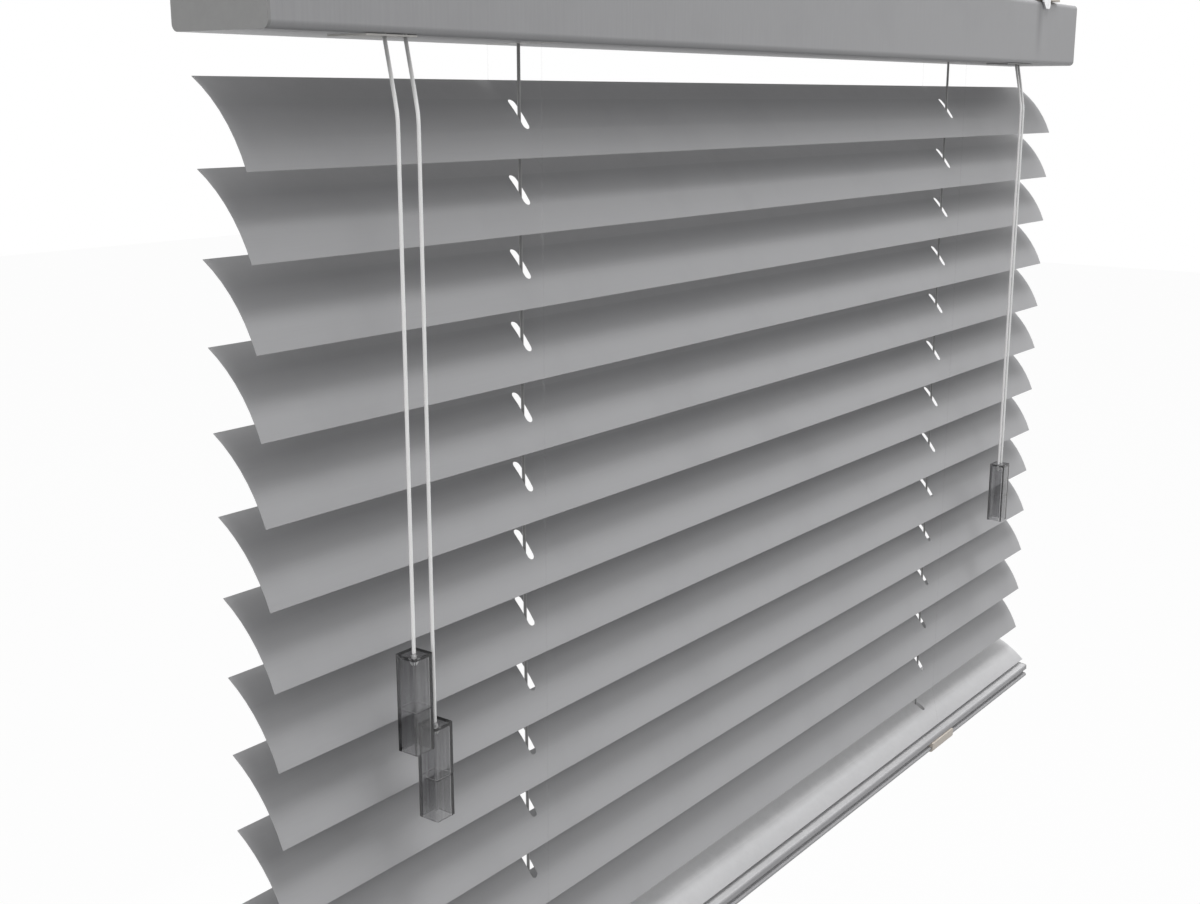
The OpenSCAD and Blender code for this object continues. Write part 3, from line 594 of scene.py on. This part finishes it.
# Free cords: routes from where they leave the head rail, as the part has them
TILT_ENDS = {"left": -0.2825, "right": -0.322}
LIFT_END = -0.330
LIFT_SPREAD = 0.0003
CORD_STEP = 0.009
KNOT_BELOW_END = 0.0014
TASSEL_KNOT = 0.0044


def hanging_route(end, sideways):
    """A route down from the exit that leans out to clear the slats, then hangs plumb and a little aside."""
    lean = [(0.0, -0.0003, 0.0), (0.0, -0.0015, 0.0), (-0.0032, -0.017, 0.2), (-0.006, -0.032, 0.4)]
    plumb = [(-0.0064, -0.036, 0.45), (-0.0065, -0.041, 0.5)]
    low = [(-0.0065, end * share, 0.5 + 0.5 * share) for share in (0.25, 0.4, 0.55, 0.7, 0.85)]
    bottom = [(-0.0065, end, 1.0)]
    return [Vector((sideways * share, y, z)) for y, z, share in lean + plumb + low + bottom]


def free_cord(name, start, end, sideways, tassel, replaced):
    """A cord from its exit down to its tassel, and its knot there. The tassel names a body and its node."""
    exit_at = Vector((start, EXIT_Y, UNDERSIDE))
    line = [exit_at + p for p in smooth_line(hanging_route(end, sideways), CORD_STEP)]
    length = line_length(line)
    obj = cord_piece(name, [even(line, CORD_R)], "cord_white")
    below = line[-1] - Vector((0, 0, KNOT_BELOW_END))
    tied = cord_piece(name + "_knot", [knot(below, TASSEL_KNOT, KNOT_R)], "cord_white", tassel, before=length)
    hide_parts(replaced)
    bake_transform(obj)


for label, side in SIDES.items():
    free_cord(f"tilt_pull_cord_{label}", TILTER_X + side * SPOOL_R, TILT_ENDS[label], sideways=0.0,
              tassel=f"tilt_tassel_{label}", replaced=f"tilt_cord_{label}")
for label, side in SIDES.items():
    free_cord(f"lift_pull_cord_{label}", LOCK_X + side * EXIT_PART, LIFT_END, sideways=side * LIFT_SPREAD,
              tassel="lift_tassel", replaced=f"lift_tail_{label}")

# Short ends of the tilt cords between the spool and their exit
SPOOL_DROP = Vector((0, 0.0028, 0.0155))
SPOOL_STEP = 0.003
spool_runs = []
for side in SIDES.values():
    exit_at = Vector((TILTER_X + side * SPOOL_R, EXIT_Y, UNDERSIDE))
    down = [exit_at + SPOOL_DROP, exit_at + 0.5 * SPOOL_DROP, exit_at]
    spool_runs.append(even(smooth_line(down, SPOOL_STEP), CORD_R))
cord_piece("tilt_cord_spool_ends", spool_runs, "cord_white", "root")


# Lift cords: the run in the head rail, the drop through the slats, and the knot in the bottom rail


def quarter(centre, start, end, count=6):
    """Points of a quarter bend about a centre, from one direction round to another."""
    turns = [0.5 * math.pi * k / count for k in range(count + 1)]
    return [Vector(centre) + math.cos(t) * Vector(start) + math.sin(t) * Vector(end) for t in turns]


ROLLER_Y = EXIT_Y + TURN_R
ROLLER_HEIGHT = 0.0072
ROLLER_Z = FLOOR_IN_RAIL + ROLLER_HEIGHT
RUN_HEIGHT = {"left": 0.0132, "right": 0.0092}
DROP_RINGS = 40
CORD_IN_RAIL = 0.0012
RAIL_KNOT = 0.0056
RAIL_KNOT_R = 0.0024
for label, side in SIDES.items():
    x = side * LADDER_X
    z = FLOOR_IN_RAIL + RUN_HEIGHT[label]
    end_x = LOCK_X + side * CORD_PART
    head = [Vector((x, 0, UNDERSIDE))]
    head += quarter((x + BEND_R, 0, z - BEND_R), (-BEND_R, 0, 0), (0, 0, BEND_R))
    head += quarter((end_x - BEND_R, -BEND_R, z), (0, BEND_R, 0), (BEND_R, 0, 0))
    head += quarter((end_x, ROLLER_Y, ROLLER_Z), (0, 0, TURN_R), (0, -TURN_R, 0))
    head.append(Vector((LOCK_X + side * EXIT_PART, EXIT_Y, UNDERSIDE)))
    # The lift cords inside the blind take the grey braid, painted shade for the white cord in the shade of
    # the head rail and slats.
    cord_piece(f"lift_cord_head_run_{label}", [even(head, CORD_R)], "cord_grey", "root")
    heights = [UNDERSIDE + (RAIL_TOP - UNDERSIDE) * k / DROP_RINGS for k in range(DROP_RINGS + 1)]
    drop = [Vector((x, 0, height)) for height in heights]
    hung = cord_piece(f"lift_cord_drop_{label}", [even(drop, CORD_R)], "cord_grey", "root")
    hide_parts(f"lift_cord_{label}")
    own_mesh(hung)
    tail = [Vector((x, 0, RAIL_TOP)), Vector((x, 0, RAIL_TOP - CORD_IN_RAIL))]
    tied = knot(tail[-1] - Vector((0, 0, GAP)), RAIL_KNOT, RAIL_KNOT_R)
    cord_piece(f"lift_cord_knot_{label}", [even(tail, CORD_R), tied], "cord_grey", "bottom_rail")

# Ladders: strings down to the first slat, beside the slats, out to the last slat, and over the rail's edge
STRING_RINGS = 24
for label, face in (("front", -1), ("back", 1)):
    near_y = string_y(face, SLAT_TILT)
    far_y = last_string_y(face)
    edge_y = face * (RAIL_EDGE + STRING_GAP)
    high = FIRST_SLAT_Z + tip_z(face, SLAT_TILT)
    turn = FIRST_SLAT_Z - SLAT_PITCH * (SLAT_COUNT - 2) + tip_z(face, SLAT_TILT)
    low = LAST_SLAT_Z + tip_z(face, LAST_TILT)
    tops, middles, slants, ends = [], [], [], []
    for side in SIDES.values():
        x = side * LADDER_X
        drum = Vector((x, face * (DRUM_R + STRING_GAP), ROD_Z))
        first = Vector((x, near_y, high))
        last = Vector((x, far_y, low))
        heights = [high + (turn - high) * k / STRING_RINGS for k in range(STRING_RINGS + 1)]
        straight = [Vector((x, near_y, height)) for height in heights]
        over = [Vector((x, edge_y, RAIL_TOP - RAIL_CROWN)), Vector((x, edge_y, GROOVE_TOP + GAP))]
        tops.append(even([drum, Vector((x, near_y, UNDERSIDE)), first], STRING_R))
        middles.append(even(straight, STRING_R))
        slants.append(even([straight[-1], last], STRING_R))
        ends.append(even([last] + over, STRING_R))
    cord_piece(f"ladder_top_{label}", tops, "ladder_string", "root", STRING_SIDES)
    strings = cord_piece(f"ladder_strings_{label}", middles, "ladder_string", "root", STRING_SIDES)
    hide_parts("ladder_left", "ladder_right")
    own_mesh(strings)
    slanted = cord_piece(f"ladder_turn_{label}", slants, "ladder_string", "bottom_rail", STRING_SIDES)
    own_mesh(slanted)
    cord_piece(f"ladder_end_{label}", ends, "ladder_string", "bottom_rail", STRING_SIDES)

# Rungs under the slats, past alternate sides of the lift cord.
RUNG_PART = CORD_R + GAP + STRING_R
RUNG_STRAIGHT = 0.8
RUNG_STEP = 0.004
for i in range(1, SLAT_COUNT + 1):
    tilt = slat_tilt(i)
    string_at = [last_string_y(face) if i == SLAT_COUNT else string_y(face, SLAT_TILT) for face in (-1, 1)]
    front, back = [(y - RUNG_DROP * math.sin(tilt)) / math.cos(tilt) for y in string_at]
    turned = Matrix.Rotation(tilt, 3, "X")
    offset = RUNG_PART if i % 2 == 0 else -RUNG_PART
    across = [(0.0, front), (offset, RUNG_STRAIGHT * front), (offset, 0.0),
              (offset, RUNG_STRAIGHT * back), (0.0, back)]
    runs = []
    for side in SIDES.values():
        pivot = Vector((side * LADDER_X, 0, slat_z(i)))
        points = [pivot + turned @ Vector((dx, along, -RUNG_DROP)) for dx, along in across]
        runs.append(even(smooth_line(points, RUNG_STEP), STRING_R))
    rungs = cord_piece(f"slat_{i}_rungs", runs, "ladder_string", f"slat_{i}", STRING_SIDES)
    if 1 < i < SLAT_COUNT:
        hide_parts(f"rungs_{i}")
    if i < SLAT_COUNT:
        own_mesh(rungs)


# Floor, backdrop, light and camera


def seen_as_white(tree):
    """1 for rays that see the background straight, in a reflection or through clear plastic."""
    path = add(tree, "ShaderNodeLightPath")
    direct = math_node(tree, "MAXIMUM", path.outputs["Is Camera Ray"], path.outputs["Is Glossy Ray"])
    return math_node(tree, "MAXIMUM", direct, path.outputs["Is Transmission Ray"])


FLOOR_Z = -1.7
FLOOR_HALF = 14.0
FLOOR_GREY = 0.27
FLOOR_GLOW = 1.06
FLOOR_GLOW_SHARE = 0.9
floor_mesh = bpy.data.meshes.new("floor")
corners = [(-1, -1), (1, -1), (1, 1), (-1, 1)]
floor_mesh.from_pydata([(x * FLOOR_HALF, y * FLOOR_HALF, FLOOR_Z) for x, y in corners], [], [(0, 1, 2, 3)])
floor = bpy.data.objects.new("floor", floor_mesh)
bpy.context.scene.collection.objects.link(floor)
pale = bpy.data.materials.new("Pale floor")
pale.use_nodes = True
tree = pale.node_tree
plain = tree.nodes["Principled BSDF"]
plain.inputs["Base Color"].default_value = (FLOOR_GREY, FLOOR_GREY, FLOOR_GREY, 1)
plain.inputs["Roughness"].default_value = 0.9
glow = add(tree, "ShaderNodeEmission", Strength=FLOOR_GLOW)
mixed = add(tree, "ShaderNodeMixShader")
join(tree, math_node(tree, "MULTIPLY", seen_as_white(tree), FLOOR_GLOW_SHARE), mixed.inputs[0])
join(tree, plain.outputs[0], mixed.inputs[1])
join(tree, glow.outputs[0], mixed.inputs[2])
join(tree, mixed.outputs[0], tree.nodes["Material Output"].inputs[0])
floor_mesh.materials.append(pale)

ROOM_LIGHT = 0.53
world = bpy.data.worlds.new("Studio")
bpy.context.scene.world = world
world.use_nodes = True
tree = world.node_tree
room = tree.nodes["Background"]
room.inputs[0].default_value = (1, 1, 1, 1)
level = add(tree, "ShaderNodeMapRange", **{"To Min": ROOM_LIGHT, "To Max": 1.0})
join(tree, seen_as_white(tree), level.inputs["Value"])
join(tree, level.outputs[0], room.inputs["Strength"])

MIDDLE = Vector((0, 0, -0.31))


def soft_lamp(name, at, long, wide, power):
    """A soft rectangular lamp that looks at the middle of the blind."""
    lamp = bpy.data.lights.new(name, "AREA")
    lamp.shape = "RECTANGLE"
    lamp.size = long
    lamp.size_y = wide
    lamp.energy = power
    obj = bpy.data.objects.new(name, lamp)
    bpy.context.scene.collection.objects.link(obj)
    obj.location = at
    obj.rotation_euler = (MIDDLE - Vector(at)).to_track_quat("-Z", "Y").to_euler()


soft_lamp("overhead", at=(0.8, -1.1, 5.59), long=5.0, wide=1.7, power=335)
soft_lamp("fill", at=(-2.2, -0.6, 0.2), long=1.6, wide=1.6, power=11)
soft_lamp("side", at=(1.3, -0.9, 0.0), long=1.0, wide=1.0, power=1.6)
soft_lamp("low behind", at=(0.0, 2.2, -1.0), long=2.4, wide=1.2, power=14)

# Camera, level from side to side, as solved from the ends of the slats
CAMERA_AT = Vector((-0.8649, -0.5041, -0.0807))
CAMERA_AHEAD = Vector((0.77933, 0.58301, -0.22968)).normalized()
CAMERA_RIGHT = CAMERA_AHEAD.cross(Vector((0, 0, 1))).normalized()
CAMERA_UP = CAMERA_RIGHT.cross(CAMERA_AHEAD)
FOCAL_LENGTH = 45.05
FRAME_WIDTH = 36.0
NEAREST_SEEN = 0.01
lens = bpy.data.cameras.new("photo_view")
lens.lens = FOCAL_LENGTH
lens.sensor_width = FRAME_WIDTH
lens.clip_start = NEAREST_SEEN
camera = bpy.data.objects.new("photo_view", lens)
bpy.context.scene.collection.objects.link(camera)
axes = Matrix((CAMERA_RIGHT, CAMERA_UP, -CAMERA_AHEAD)).transposed()
camera.matrix_world = Matrix.Translation(CAMERA_AT) @ axes.to_4x4()
bpy.context.scene.camera = camera
bpy.context.scene.view_settings.view_transform = "Standard"
